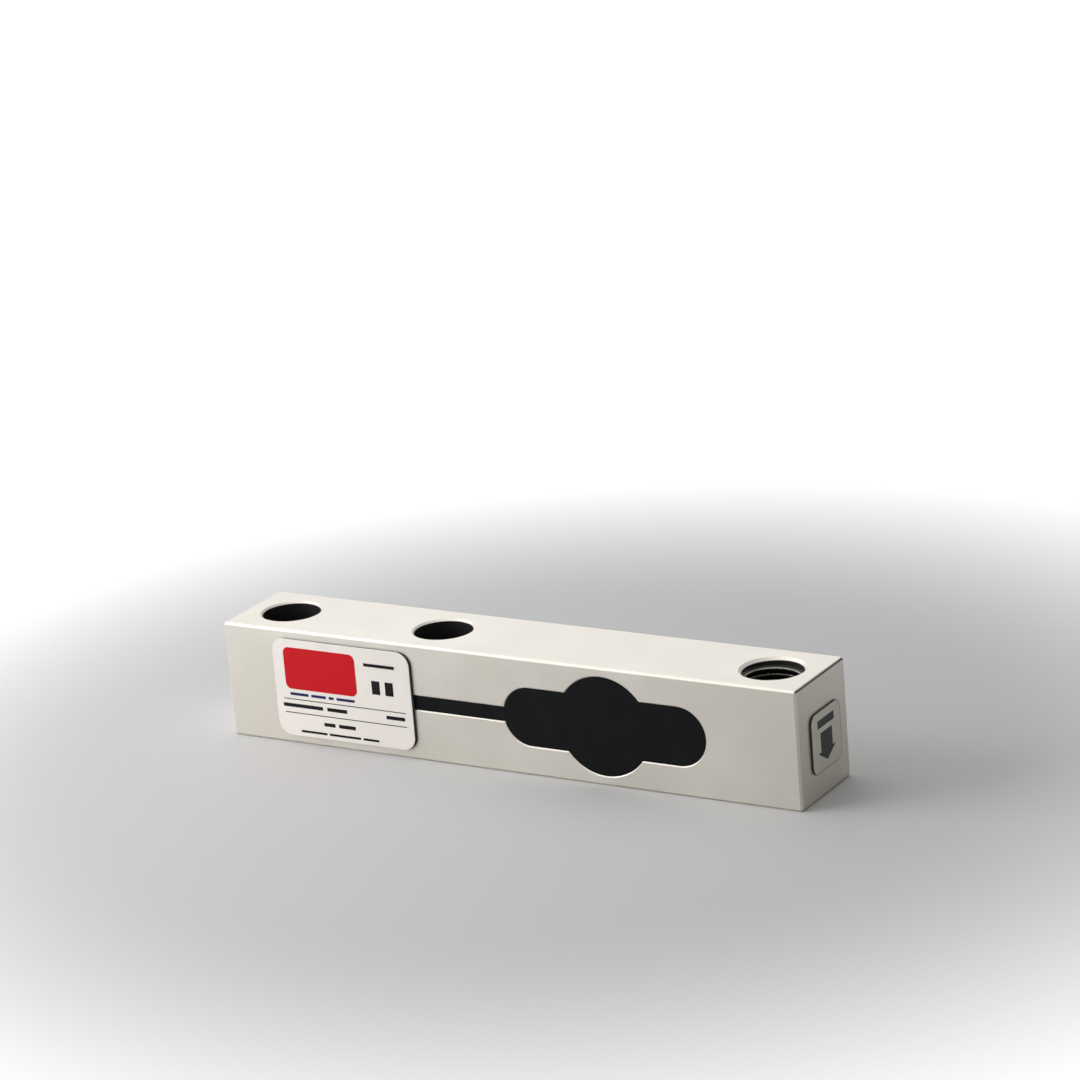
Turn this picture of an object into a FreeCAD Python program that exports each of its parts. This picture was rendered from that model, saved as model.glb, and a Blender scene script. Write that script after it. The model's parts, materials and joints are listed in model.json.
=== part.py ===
import FreeCAD, Part
import math
import os
import re
import Sketcher

Vector = FreeCAD.Vector

# Driving sizes in millimetres: name, value, meaning.
# X runs along the beam towards its load end, -Y is the labelled side, Z is up.
# The origin is the middle of the underside.
SIZES = [
    ("beam_length", 136.0, "bar, fixed end to load end"),
    ("beam_width", 21.5, "bar, labelled side to far side"),
    ("beam_height", 25.4, "bar, underside to top"),
    ("edge_chamfer", 0.45, "chamfer along every outer edge"),
    ("fixing_end_distance", 10.4, "fixed end to the first fixing bore"),
    ("fixing_pitch", 38.1, "between the two fixing bores"),
    ("fixing_diameter", 12.5, "fixing bores, clearance for 12 mm bolts"),
    ("fixing_mouth", 0.4, "chamfer at each mouth of a fixing bore"),
    ("load_end_distance", 10.4, "load end to the threaded hole"),
    ("load_diameter", 12.7, "threaded hole at the root of its thread"),
    ("load_mouth", 0.6, "chamfer at each mouth of the threaded hole"),
    ("pocket_end_distance", 44.25, "load end to the middle of the gauge pockets"),
    ("web_diameter", 21.4, "round pocket on either side of the web"),
    ("web_thickness", 4.0, "wall between the two round pockets"),
    ("web_fillet", 0.8, "fillet round each pocket's floor"),
    ("lobe_span", 47.0, "lobed pocket, end to end"),
    ("lobe_height", 12.7, "width of the cutter that mills the lobes"),
    ("lobe_depth", 3.5, "labelled side to the floor of the lobes"),
    ("channel_height", 3.2, "wire channel under the label"),
    ("channel_depth", 2.6, "labelled side to the floor of the channel"),
    ("pocket_edge", 0.2, "broken edge round the pockets and the channel"),
    ("inlet_diameter", 7.0, "cable inlet on the far side"),
    ("inlet_depth", 9.0, "far side to the floor of the inlet"),
    ("inlet_mouth", 0.4, "chamfer at the mouth of the inlet"),
    ("core_hole_diameter", 2.4, "hole from the inlet to the channel"),
    ("cross_hole_diameter", 2.6, "wire hole through the web"),
    ("cross_hole_offset", 7.4, "middle of the web to its wire hole"),
    ("potting_recess", 0.2, "compound below the face of the bar"),
    ("carrier_length", 8.4, "gauge film along the beam"),
    ("carrier_height", 9.6, "gauge film up the web"),
    ("carrier_shift", 1.3, "gauge film's middle from the web's, towards its tabs"),
    ("carrier_thickness", 0.1, "gauge film"),
    ("carrier_corner", 0.6, "gauge film's corner radius"),
    ("foil_thickness", 0.05, "gauge foil"),
    ("grid_leg", 3.2, "length of a grid's legs"),
    ("grid_line", 0.25, "width of a foil line"),
    ("grid_pitch", 0.5, "between the legs of a grid"),
    ("grid_loops", 3, "pairs of legs in a grid"),
    ("tab_distance", 4.4, "middle of the web to the gauge's tabs"),
    ("tab_pitch", 0.6, "between tabs, and between the wires on them"),
    ("tab_length", 0.9, "foil tab or small pad along the beam"),
    ("tab_height", 0.44, "foil tab or small pad across the beam"),
    ("board_gap", 0.8, "web pocket to the inner edge of a board"),
    ("board_end_gap", 3.0, "outer end of a lobe to the outer edge of its board"),
    ("board_side_gap", 1.9, "side of a lobe to the edge of its board"),
    ("board_thickness", 0.8, "circuit boards"),
    ("board_corner", 1.0, "circuit boards' corner radius"),
    ("pad_thickness", 0.1, "copper pads"),
    ("pad_inset", 1.1, "board's inner edge to the middle of its first pads"),
    ("link_spread", 2.2, "beam's middle to the nearer link wires"),
    ("link_pitch", 0.9, "between two link wires"),
    ("core_pad_length", 1.8, "pads for the cable's cores, along the beam"),
    ("core_pad_height", 1.1, "pads for the cable's cores, across the beam"),
    ("core_pad_pitch", 1.8, "between the pads for the cable's cores"),
    ("core_pad_inset", 2.0, "board's outer edge to the middle of the core pads"),
    ("solder_base", 0.21, "solder joint, radius on its pad"),
    ("solder_tip", 0.15, "solder joint, radius at the wire"),
    ("solder_height", 0.25, "solder joint"),
    ("wire_diameter", 0.24, "bridge wires"),
    ("wire_bend", 0.5, "bend radius of the bridge wires"),
    ("wire_rise", 1.1, "board or web to the wires that run over it"),
    ("resistor_length", 3.4, "body of a resistor"),
    ("resistor_diameter", 1.5, "body of a resistor"),
    ("resistor_end", 0.3, "rounding of a resistor's ends"),
    ("resistor_lift", 0.15, "board to the body of a resistor"),
    ("resistor_foot", 2.6, "resistor's middle to its feet"),
    ("resistor_inset", 4.0, "board's inner edge to the first resistor"),
    ("resistor_pitch", 2.8, "between the two resistors"),
    ("lead_diameter", 0.28, "leads of a resistor"),
    ("lead_bend", 0.3, "bend radius of a resistor's leads"),
    ("rating_length", 34.0, "large label along the beam"),
    ("rating_height", 21.6, "large label up the beam"),
    ("rating_distance", 29.4, "fixed end to the middle of the large label"),
    ("rating_rise", 0.1, "large label's middle above the beam's"),
    ("rating_corner", 3.0, "large label's corner radius"),
    ("rating_face", 0.15, "thickness of the large label's printed face"),
    ("rating_tape", 0.4, "thickness of its adhesive foam"),
    ("tape_inset", 0.1, "foam's edge inside the edge of the large label"),
    ("tape_slip", 0.4, "foam's shift along the beam"),
    ("arrow_side", 12.7, "small square label on the load end"),
    ("arrow_corner", 2.0, "small label's corner radius"),
    ("arrow_rise", -0.8, "small label's middle above the beam's"),
    ("arrow_shift", 0.5, "small label's middle past the beam's, to the far side"),
    ("arrow_face", 0.1, "thickness of the small label's printed face"),
    ("arrow_tape", 0.35, "thickness of its adhesive foam"),
]
size = {name: value for name, value, meaning in SIZES}

# Places on the beam, as formulas of the sheet's names.
FIXING_X = "(-beam_length / 2 + fixing_end_distance)"
INLET_X = f"({FIXING_X} + fixing_pitch / 2)"
LOAD_X = "(beam_length / 2 - load_end_distance)"
POCKET_X = "(beam_length / 2 - pocket_end_distance)"
LOBE_CENTRE_X = f"({POCKET_X} - lobe_span / 2 + lobe_height / 2)"
CROSS_X = f"({POCKET_X} + cross_hole_offset)"
MIDDLE_Z = "(beam_height / 2)"
FLOOR_Y = "(-beam_width / 2 + lobe_depth)"
BOARD_Y = f"({FLOOR_Y} - board_thickness)"
BOARD_INNER = "(web_diameter / 2 + board_gap)"
BOARD_LENGTH = f"(lobe_span / 2 - board_end_gap - {BOARD_INNER})"
BOARD_HEIGHT = "(lobe_height - 2 * board_side_gap)"

# Ends of a grid turned by 45 degrees: its tabs lie on the -X side.
GRID_SPREAD = "((2 * grid_loops - 1) * grid_pitch)"
GRID_Z = f"(tab_pitch / 2 + (grid_leg + {GRID_SPREAD}) / 2 / sqrt(2))"
NEAR_END_X = f"(({GRID_SPREAD} - grid_leg) / 2 / sqrt(2))"
FAR_END_X = f"(-(grid_leg + {GRID_SPREAD}) / 2 / sqrt(2))"
FAR_END_Z = f"({GRID_Z} + {NEAR_END_X})"


def formula(text):
    """The text with each size's name turned into a reference to its cell."""
    def reference(found):
        return "Sizes." + found.group() if found.group() in size else found.group()
    return re.sub(r"[a-z]+(_[a-z]+)*", reference, str(text))


def bind(item, **formulas):
    """Tie properties of an object to the sheet. x, y and z are its place."""
    for name, text in formulas.items():
        path = f"Placement.Base.{name}" if name in ("x", "y", "z") else name
        item.setExpression(path, formula(text))
    return item


def make_sheet(doc):
    """The driving sizes as a spreadsheet."""
    sheet = doc.addObject("Spreadsheet::Sheet", "Sizes")
    for row, (name, value, meaning) in enumerate(SIZES, start=1):
        sheet.set(f"A{row}", meaning)
        sheet.set(f"B{row}", str(value))
        sheet.setAlias(f"B{row}", name)
    doc.recompute()
    return sheet


# Sketches

def sketch_on(body, role, name, across=0, up=0, out=0, turn=0.0):
    """A sketch on one of the body's planes, moved in the plane and out along its normal."""
    plane = next(item for item in body.Origin.OriginFeatures if item.Role == role)
    sketch = body.newObject("Sketcher::SketchObject", name)
    sketch.AttachmentSupport = [(plane, "")]
    sketch.MapMode = "FlatFace"
    turned = FreeCAD.Rotation(Vector(0, 0, 1), turn)
    sketch.AttachmentOffset = FreeCAD.Placement(Vector(), turned)
    for axis, text in zip("xyz", (across, up, out)):
        sketch.setExpression(f"AttachmentOffset.Base.{axis}", formula(text))
    return sketch


def dimension(sketch, name, text, *rule):
    """A named dimension of a sketch, tied to the sheet."""
    index = sketch.addConstraint(Sketcher.Constraint(*rule))
    sketch.renameConstraint(index, name)
    sketch.setExpression(f"Constraints.{name}", formula(text))


def circle(sketch, diameter):
    """A circle round the sketch's origin."""
    ring = sketch.addGeometry(Part.Circle(Vector(), Vector(0, 0, 1), 1))
    sketch.addConstraint(Sketcher.Constraint("Coincident", ring, 3, -1, 1))
    dimension(sketch, "diameter", diameter, "Diameter", ring, 2)


def rectangle(sketch, across, up, left=None, bottom=None, name="box"):
    """A rectangle, round the sketch's origin unless its lower left corner is given."""
    points = [Vector(-1, -1), Vector(1, -1), Vector(1, 1), Vector(-1, 1)]
    ends = zip(points, points[1:] + points[:1])
    sides = [sketch.addGeometry(Part.LineSegment(a, b)) for a, b in ends]
    for side, following in zip(sides, sides[1:] + sides[:1]):
        sketch.addConstraint(Sketcher.Constraint("Coincident", side, 2, following, 1))
    for side, way in zip(sides, ("Horizontal", "Vertical") * 2):
        sketch.addConstraint(Sketcher.Constraint(way, side))
    dimension(sketch, name + "_across", across, "DistanceX", sides[0], 1, sides[0], 2, 2)
    dimension(sketch, name + "_up", up, "DistanceY", sides[1], 1, sides[1], 2, 2)
    left = f"-({across}) / 2" if left is None else left
    bottom = f"-({up}) / 2" if bottom is None else bottom
    dimension(sketch, name + "_left", left, "DistanceX", -1, 1, sides[0], 1, -1)
    dimension(sketch, name + "_bottom", bottom, "DistanceY", -1, 1, sides[0], 1, -1)


def obround(sketch, span, height):
    """A slot with full round ends, lying along the sketch's X axis round its origin."""
    normal = Vector(0, 0, 1)
    quarter = math.pi / 2
    right_round = Part.ArcOfCircle(Part.Circle(Vector(2, 0), normal, 1), -quarter, quarter)
    left_round = Part.ArcOfCircle(Part.Circle(Vector(-2, 0), normal, 1), quarter, 3 * quarter)
    low = sketch.addGeometry(Part.LineSegment(Vector(-2, -1), Vector(2, -1)))
    right = sketch.addGeometry(right_round)
    high = sketch.addGeometry(Part.LineSegment(Vector(2, 1), Vector(-2, 1)))
    left = sketch.addGeometry(left_round)
    loop = [low, right, high, left]
    for side, following in zip(loop, loop[1:] + loop[:1]):
        sketch.addConstraint(Sketcher.Constraint("Tangent", side, 2, following, 1))
    sketch.addConstraint(Sketcher.Constraint("Horizontal", low))
    sketch.addConstraint(Sketcher.Constraint("Horizontal", high))
    sketch.addConstraint(Sketcher.Constraint("Symmetric", left, 3, right, 3, -1, 1))
    dimension(sketch, "height", height, "DistanceY", low, 2, high, 1, 2)
    dimension(sketch, "centres", f"({span}) - ({height})", "DistanceX", left, 3, right, 3, 4)


# Features

def new_body(doc, label):
    """An empty body that takes separate solids too."""
    body = doc.addObject("PartDesign::Body", label)
    body.Label = label
    body.AllowCompound = True
    return body


def pad(body, sketch, length):
    """A pad of the sketch along its normal."""
    feature = body.newObject("PartDesign::Pad", sketch.Name + "Pad")
    feature.Profile = sketch
    bind(feature, Length=length)
    return feature


def pocket(body, sketch, depth, from_far_side=False):
    """A pocket against the sketch's normal, which has to take metal away."""
    body.Document.recompute()
    before = body.Tip.Shape.Volume
    feature = body.newObject("PartDesign::Pocket", sketch.Name + "Pocket")
    feature.Profile = sketch
    feature.Reversed = from_far_side
    bind(feature, Length=depth)
    body.Document.recompute()
    if feature.Shape.Volume > before - 0.01:
        raise RuntimeError(f"{feature.Name} takes nothing away")
    return feature


def turned(body, kind, sketch):
    """A groove or a revolution: the sketch turned round its own vertical axis."""
    feature = body.newObject("PartDesign::" + kind, sketch.Name + kind)
    feature.Profile = sketch
    feature.ReferenceAxis = (sketch, ["V_Axis"])
    feature.Angle = 360
    return feature


def edge_names(shape, chosen):
    """The names of those edges of a shape that a test picks."""
    return [f"Edge{i}" for i, edge in enumerate(shape.Edges, start=1) if chosen(edge)]


def dress(body, kind, chosen, **formulas):
    """A fillet or chamfer on the edges that a test picks from the body as it stands."""
    body.Document.recompute()
    base = body.Tip
    feature = body.newObject("PartDesign::" + kind, base.Name + kind)
    feature.Base = (base, edge_names(base.Shape, chosen))
    return bind(feature, **formulas)


def is_circle(edge, radius, axis, at):
    """Is this edge a circle or arc of that radius, at that place along an axis (0 X, 1 Y, 2 Z)?"""
    curve = edge.Curve
    return (
        isinstance(curve, Part.Circle)
        and abs(curve.Radius - radius) < 1e-4
        and abs(curve.Center[axis] - at) < 1e-4
    )


def lies_at(edge, axis, at):
    """Does the whole edge lie at that place along an axis?"""
    points = edge.discretize(3)
    return all(abs(point[axis] - at) < 1e-4 for point in points)


def plate(doc, label, role, across, up, thickness, corner, **place):
    """A flat piece with round corners, standing out along the normal of one of its planes."""
    body = new_body(doc, label)
    outline = sketch_on(body, role, label + "Outline")
    rectangle(outline, across, up)
    pad(body, outline, thickness)
    doc.recompute()
    normal = outline.Placement.Rotation.multVec(Vector(0, 0, 1))

    def along_normal(edge):
        return abs(edge.tangentAt(edge.FirstParameter).dot(normal)) > 0.99

    dress(body, "Fillet", along_normal, Radius=corner)
    return bind(body, **place)


def block(doc, name, x, y, z, across, deep, up):
    """A box from its lowest corner."""
    item = doc.addObject("Part::Box", name)
    return bind(item, x=x, y=y, z=z, Length=across, Width=deep, Height=up)


def group(doc, label, pieces):
    """Separate solids kept together as one sub-part."""
    item = doc.addObject("Part::Compound", label)
    item.Links = pieces
    return item


# The beam

def beam_block(body):
    """The bar with its chamfered edges."""
    section = sketch_on(body, "XY_Plane", "BarOutline")
    rectangle(section, "beam_length", "beam_width")
    pad(body, section, "beam_height")
    dress(body, "Chamfer", lambda edge: True, Size="edge_chamfer")


def upright_hole(body, name, x, diameter, mouth):
    """A hole through the height of the bar, with a chamfer at both mouths."""
    sketch = sketch_on(body, "XY_Plane", name, across=x, out="beam_height")
    circle(sketch, diameter)
    pocket(body, sketch, "beam_height")
    radius = size[diameter] / 2
    middle = sketch.Placement.Base.x

    def at_mouth(edge):
        ends = (0.0, size["beam_height"])
        here = any(is_circle(edge, radius, 2, end) for end in ends)
        return here and abs(edge.Curve.Center.x - middle) < 1e-4

    dress(body, "Chamfer", at_mouth, Size=mouth)


def web_section(body, name, face, turn):
    """Half the section of a round pocket, from its mouth to the web. A turn of 180 is the far side."""
    sketch = sketch_on(body, "XY_Plane", name, across=POCKET_X, out=MIDDLE_Z, turn=turn)
    rounding = Part.ArcOfCircle(Part.Circle(Vector(9, -3), Vector(0, 0, 1), 1), 0, math.pi / 2)
    mouth = sketch.addGeometry(Part.LineSegment(Vector(0, -9), Vector(10, -9)))
    wall = sketch.addGeometry(Part.LineSegment(Vector(10, -9), Vector(10, -3)))
    corner = sketch.addGeometry(rounding)
    floor = sketch.addGeometry(Part.LineSegment(Vector(9, -2), Vector(0, -2)))
    axis = sketch.addGeometry(Part.LineSegment(Vector(0, -2), Vector(0, -9)))
    rules = [
        ("Coincident", mouth, 2, wall, 1),
        ("Tangent", wall, 2, corner, 1),
        ("Tangent", corner, 2, floor, 1),
        ("Coincident", floor, 2, axis, 1),
        ("Coincident", axis, 2, mouth, 1),
        ("Horizontal", mouth),
        ("Vertical", wall),
        ("Horizontal", floor),
        ("PointOnObject", mouth, 1, -2),
        ("PointOnObject", floor, 2, -2),
    ]
    for rule in rules:
        sketch.addConstraint(Sketcher.Constraint(*rule))
    dimension(sketch, "radius", "web_diameter / 2", "DistanceX", mouth, 1, mouth, 2, 10)
    dimension(sketch, "fillet", "web_fillet", "Radius", corner, 1)
    dimension(sketch, "mouth", f"-({face})", "DistanceY", -1, 1, mouth, 1, -9)
    dimension(sketch, "floor", "-web_thickness / 2", "DistanceY", -1, 1, floor, 2, -2)
    return sketch


def lobe_outline(body, name, out):
    """The outline of the lobed pocket."""
    sketch = sketch_on(body, "XZ_Plane", name, across=POCKET_X, up=MIDDLE_Z, out=out)
    obround(sketch, "lobe_span", "lobe_height")
    return sketch


def channel_outline(body, name, out):
    """The outline of the channel, from the inlet's middle to that of the nearer lobe."""
    middle = f"({INLET_X} + {LOBE_CENTRE_X}) / 2"
    sketch = sketch_on(body, "XZ_Plane", name, across=middle, up=MIDDLE_Z, out=out)
    obround(sketch, f"{LOBE_CENTRE_X} - {INLET_X} + channel_height", "channel_height")
    return sketch


def round_outline(body, name, x, diameter, out):
    """A round hole's outline at the middle of the beam's height."""
    sketch = sketch_on(body, "XZ_Plane", name, across=x, up=MIDDLE_Z, out=out)
    circle(sketch, diameter)
    return sketch


def gauge_pockets(body):
    """Round pockets that leave the web between them, and the lobes and channel on the labelled side."""
    half = "beam_width / 2"
    for name, turn in (("FrontWeb", 0), ("RearWeb", 180)):
        turned(body, "Groove", web_section(body, name, half, turn))
    pocket(body, lobe_outline(body, "Lobes", half), "lobe_depth")
    pocket(body, channel_outline(body, "Channel", half), "channel_depth")


def broken_edges(body):
    """The deburred edge round the lobed pocket, the channel and the far side's round pocket."""
    half = size["beam_width"] / 2
    inside = size["beam_height"] / 2 - size["edge_chamfer"] - 0.01
    reach = size["beam_length"] / 2 - size["edge_chamfer"] - 0.01

    def on_pocket(edge):
        box = edge.BoundBox
        middle = size["beam_height"] / 2
        within = box.ZMin > middle - inside and box.ZMax < middle + inside
        flat = lies_at(edge, 1, -half) or lies_at(edge, 1, half)
        return flat and within and max(abs(box.XMin), abs(box.XMax)) < reach

    dress(body, "Chamfer", on_pocket, Size="pocket_edge")


def wire_holes(body):
    """The cable inlet, the hole from it to the channel, and the hole through the web."""
    half = "beam_width / 2"
    inlet = round_outline(body, "Inlet", INLET_X, "inlet_diameter", f"-{half}")
    pocket(body, inlet, "inlet_depth", from_far_side=True)
    radius = size["inlet_diameter"] / 2
    mouth = size["beam_width"] / 2
    dress(body, "Chamfer", lambda edge: is_circle(edge, radius, 1, mouth), Size="inlet_mouth")
    core = round_outline(body, "CoreHole", INLET_X, "core_hole_diameter", half)
    pocket(body, core, "beam_width - inlet_depth")
    cross = round_outline(body, "CrossHole", CROSS_X, "cross_hole_diameter", half)
    pocket(body, cross, "beam_width")


def make_beam(doc):
    """The machined bar."""
    body = new_body(doc, "beam")
    beam_block(body)
    upright_hole(body, "OuterFixing", FIXING_X, "fixing_diameter", "fixing_mouth")
    upright_hole(body, "InnerFixing", f"{FIXING_X} + fixing_pitch", "fixing_diameter", "fixing_mouth")
    upright_hole(body, "LoadHole", LOAD_X, "load_diameter", "load_mouth")
    gauge_pockets(body)
    broken_edges(body)
    wire_holes(body)
    return body


# The strain gauges

def gauge_carrier(doc, label):
    """The film of a gauge, flat on the web, its tabs towards -X."""
    return plate(
        doc, label, "XZ_Plane", "carrier_length", "carrier_height",
        "carrier_thickness", "carrier_corner",
    )


def pattern(body, feature, sketch, length, count):
    """Copies of a feature across its own sketch."""
    copies = body.newObject("PartDesign::LinearPattern", sketch.Name + "Copies")
    copies.Originals = [feature]
    copies.Direction = (sketch, ["V_Axis"])
    bind(copies, Length=length, Occurrences=count)
    body.Tip = copies


def make_grid(doc):
    """One foil grid at 45 degrees, with its two tabs and the lines that lead to them."""
    body = new_body(doc, "GaugeGrid")
    first = f"-{GRID_SPREAD} / 2 - grid_line / 2"
    end = "grid_leg / 2 - grid_line"
    place = {"up": GRID_Z, "out": "carrier_thickness", "turn": 45.0}
    legs = sketch_on(body, "XZ_Plane", "Legs", **place)
    rectangle(legs, "grid_leg", "grid_line", bottom=first)
    pattern(body, pad(body, legs, "foil_thickness"), legs, GRID_SPREAD, "2 * grid_loops")
    turns = sketch_on(body, "XZ_Plane", "FarTurns", **place)
    rectangle(turns, "grid_line", "grid_pitch + grid_line", left=end, bottom=first)
    spread = "2 * grid_pitch * (grid_loops - 1)"
    pattern(body, pad(body, turns, "foil_thickness"), turns, spread, "grid_loops")
    returns = sketch_on(body, "XZ_Plane", "NearTurns", **place)
    start = f"{first} + grid_pitch"
    rectangle(returns, "grid_line", "grid_pitch + grid_line", left="-grid_leg / 2", bottom=start)
    spread = "2 * grid_pitch * (grid_loops - 2)"
    pattern(body, pad(body, returns, "foil_thickness"), returns, spread, "grid_loops - 1")
    grid_leads(body)
    return body


def grid_leads(body):
    """The tabs of a grid and its lead lines, drawn level with the beam."""
    near_z = "tab_pitch / 2"
    far_z = "tab_pitch * 3 / 2"
    line = "grid_line"
    tab_edge = "(-tab_distance - tab_length / 2)"
    tab_end = "(-tab_distance + tab_length / 2)"
    shapes = {
        "NearTab": ("tab_length", "tab_height", tab_edge, f"{near_z} - tab_height / 2"),
        "FarTab": ("tab_length", "tab_height", tab_edge, f"{far_z} - tab_height / 2"),
        "NearLead": (f"{NEAR_END_X} + {line} - {tab_end}", line, tab_end, f"{near_z} - {line} / 2"),
        "FarLead": (f"{FAR_END_X} + {line} / 2 - {tab_end}", line, tab_end, f"{far_z} - {line} / 2"),
        "FarRiser": (line, f"{FAR_END_Z} + {line} - {far_z}", f"{FAR_END_X} - {line} / 2", far_z),
    }
    for name, (across, up, left, bottom) in shapes.items():
        sketch = sketch_on(body, "XZ_Plane", name, out="carrier_thickness")
        rectangle(sketch, across, up, left, bottom)
        pad(body, sketch, "foil_thickness")


def make_gauges(doc):
    """The same gauge on both sides of the web, the rear one turned round the vertical."""
    grid = make_grid(doc)
    mirrored = doc.addObject("Part::Mirroring", "GaugeGridMirrored")
    mirrored.Source = grid
    mirrored.Normal = Vector(0, 0, 1)
    pieces = []
    for side, sign, turn in (("front", "-", 0), ("rear", "", 180)):
        carrier = gauge_carrier(doc, f"{side}_gauge_carrier")
        grids = group(doc, f"{side}_gauge_grids", [grid, mirrored])
        for item in (carrier, grids):
            item.Placement.Rotation = FreeCAD.Rotation(Vector(0, 0, 1), turn)
            bind(item, x=POCKET_X, y=f"{sign}web_thickness / 2", z=MIDDLE_Z)
        bind(carrier, x=f"{POCKET_X} {sign or '+'} carrier_shift")
        pieces += [carrier, grids]
    return pieces


# The circuit boards

def board_x(side):
    """The middle of a board: side is -1 for the lobe next to the channel, 1 for the other."""
    return f"({POCKET_X} + {side} * ({BOARD_INNER} + {BOARD_LENGTH} / 2))"


def first_pad_x(side):
    """The middle of the pads along the inner edge of a board."""
    return f"({POCKET_X} + {side} * ({BOARD_INNER} + pad_inset))"


def small_pads(doc, name, side):
    """The pads for gauge wires and link wires along a board's inner edge."""
    places = [f"{k} * tab_pitch / 2" for k in (-3, -1, 1, 3)]
    places += [f"{way} * (link_spread + {k} * link_pitch)" for way in (-1, 1) for k in (0, 1)]
    x = f"{first_pad_x(side)} - tab_length / 2"
    y = f"{BOARD_Y} - pad_thickness"
    return [
        block(doc, name, x, y, f"{MIDDLE_Z} + {place} - tab_height / 2",
              "tab_length", "pad_thickness", "tab_height")
        for place in places
    ]


def resistor_x(number):
    """The middle of a resistor on the compensation board."""
    return f"({POCKET_X} + {BOARD_INNER} + resistor_inset + {number} * resistor_pitch)"


def resistor_pads(doc):
    """The pads under the feet of both resistors."""
    y = f"{BOARD_Y} - pad_thickness"
    return [
        block(doc, "ResistorPad", f"{resistor_x(number)} - tab_length / 2", y,
              f"{MIDDLE_Z} + {way} * resistor_foot - tab_length / 2",
              "tab_length", "pad_thickness", "tab_length")
        for number in (0, 1) for way in (-1, 1)
    ]


def core_pads(doc):
    """The pads that the cable's cores are soldered to, at the channel's end of the terminal board."""
    x = f"{POCKET_X} - {BOARD_INNER} - {BOARD_LENGTH} + core_pad_inset - core_pad_length / 2"
    y = f"{BOARD_Y} - pad_thickness"
    return [
        block(doc, "CorePad", x, y,
              f"{MIDDLE_Z} + {k} * core_pad_pitch / 2 - core_pad_height / 2",
              "core_pad_length", "pad_thickness", "core_pad_height")
        for k in (-3, -1, 1, 3)
    ]


def make_boards(doc):
    """Both circuit boards, flat on the floors of the lobes, and their pads."""
    pieces = []
    for label, side in (("terminal_board", -1), ("compensation_board", 1)):
        pieces.append(plate(
            doc, label, "XZ_Plane", BOARD_LENGTH, BOARD_HEIGHT, "board_thickness",
            "board_corner", x=board_x(side), y=FLOOR_Y, z=MIDDLE_Z,
        ))
    pieces.append(group(doc, "terminal_pads", small_pads(doc, "TerminalPad", -1) + core_pads(doc)))
    trim = small_pads(doc, "CompensationPad", 1) + resistor_pads(doc)
    pieces.append(group(doc, "compensation_pads", trim))
    return pieces


# Wires and solder, worked out from the same sizes

def places():
    """Distances that the wires share, in millimetres."""
    half = size["beam_width"] / 2
    middle = size["beam_length"] / 2 - size["pocket_end_distance"]
    board = -half + size["lobe_depth"] - size["board_thickness"]
    foil = size["web_thickness"] / 2 + size["carrier_thickness"] + size["foil_thickness"]
    pads = size["web_diameter"] / 2 + size["board_gap"] + size["pad_inset"]
    return {
        "middle": middle,
        "height": size["beam_height"] / 2,
        "foil": foil,
        "pad_top": board - size["pad_thickness"],
        "run": board - size["wire_rise"],
        "far_run": foil + size["wire_rise"],
        "left_pads": middle - pads,
        "right_pads": middle + pads,
        "front_tabs": middle - size["tab_distance"],
        "rear_tabs": middle + size["tab_distance"],
        "cross_hole": middle + size["cross_hole_offset"],
        "resistors": middle + size["web_diameter"] / 2 + size["board_gap"] + size["resistor_inset"],
    }


def bent_path(corners, bend):
    """Straight runs through the corners, with a tangent arc at each inner one."""
    edges = []
    start = corners[0]
    for before, corner, after in zip(corners, corners[1:], corners[2:]):
        back = (before - corner).normalize()
        ahead = (after - corner).normalize()
        half = back.getAngle(ahead) / 2
        enter = corner + back * (bend / math.tan(half))
        leave = corner + ahead * (bend / math.tan(half))
        middle = corner + (back + ahead).normalize() * (bend / math.sin(half) - bend)
        edges.append(Part.LineSegment(start, enter).toShape())
        edges.append(Part.Arc(enter, middle, leave).toShape())
        start = leave
    edges.append(Part.LineSegment(start, corners[-1]).toShape())
    return Part.Wire(edges)


def bent_wire(corners, bend, radius):
    """A round wire along a bent path."""
    path = bent_path(corners, bend)
    ring = Part.Circle(corners[0], corners[1] - corners[0], radius)
    return path.makePipeShell([Part.Wire(ring.toShape())], True, False)


def wire_group(doc, label, routes):
    """Bridge wires along their routes, as separate solids of one sub-part."""
    wires = [bent_wire(route, size["wire_bend"], size["wire_diameter"] / 2) for route in routes]
    item = doc.addObject("Part::Feature", label)
    item.Shape = Part.makeCompound(wires)
    return item


def tab_heights():
    """The heights of a gauge's four tabs."""
    return [size["beam_height"] / 2 + k * size["tab_pitch"] / 2 for k in (-3, -1, 1, 3)]


def link_heights():
    """The heights of the four link wires."""
    steps = [size["link_spread"], size["link_spread"] + size["link_pitch"]]
    return [size["beam_height"] / 2 + way * step for way in (-1, 1) for step in steps]


def make_wires(doc):
    """The wires of both gauges and the links between the boards."""
    at = places()
    joint = size["solder_height"]
    landing = at["pad_top"] - joint
    front = [
        [Vector(at["front_tabs"], -at["foil"] - joint, z), Vector(at["front_tabs"], at["run"], z),
         Vector(at["left_pads"], at["run"], z), Vector(at["left_pads"], landing, z)]
        for z in tab_heights()
    ]
    rear = [
        [Vector(at["rear_tabs"], at["foil"] + joint, z), Vector(at["rear_tabs"], at["far_run"] + joint, z),
         Vector(at["cross_hole"], at["far_run"] + joint, z), Vector(at["cross_hole"], at["run"], z),
         Vector(at["right_pads"], at["run"], z), Vector(at["right_pads"], landing, z)]
        for z in tab_heights()
    ]
    links = [
        [Vector(at["left_pads"], landing, z), Vector(at["left_pads"], at["run"], z),
         Vector(at["right_pads"], at["run"], z), Vector(at["right_pads"], landing, z)]
        for z in link_heights()
    ]
    return [
        wire_group(doc, "front_gauge_wires", front),
        wire_group(doc, "rear_gauge_wires", rear),
        wire_group(doc, "board_link_wires", links),
    ]


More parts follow.
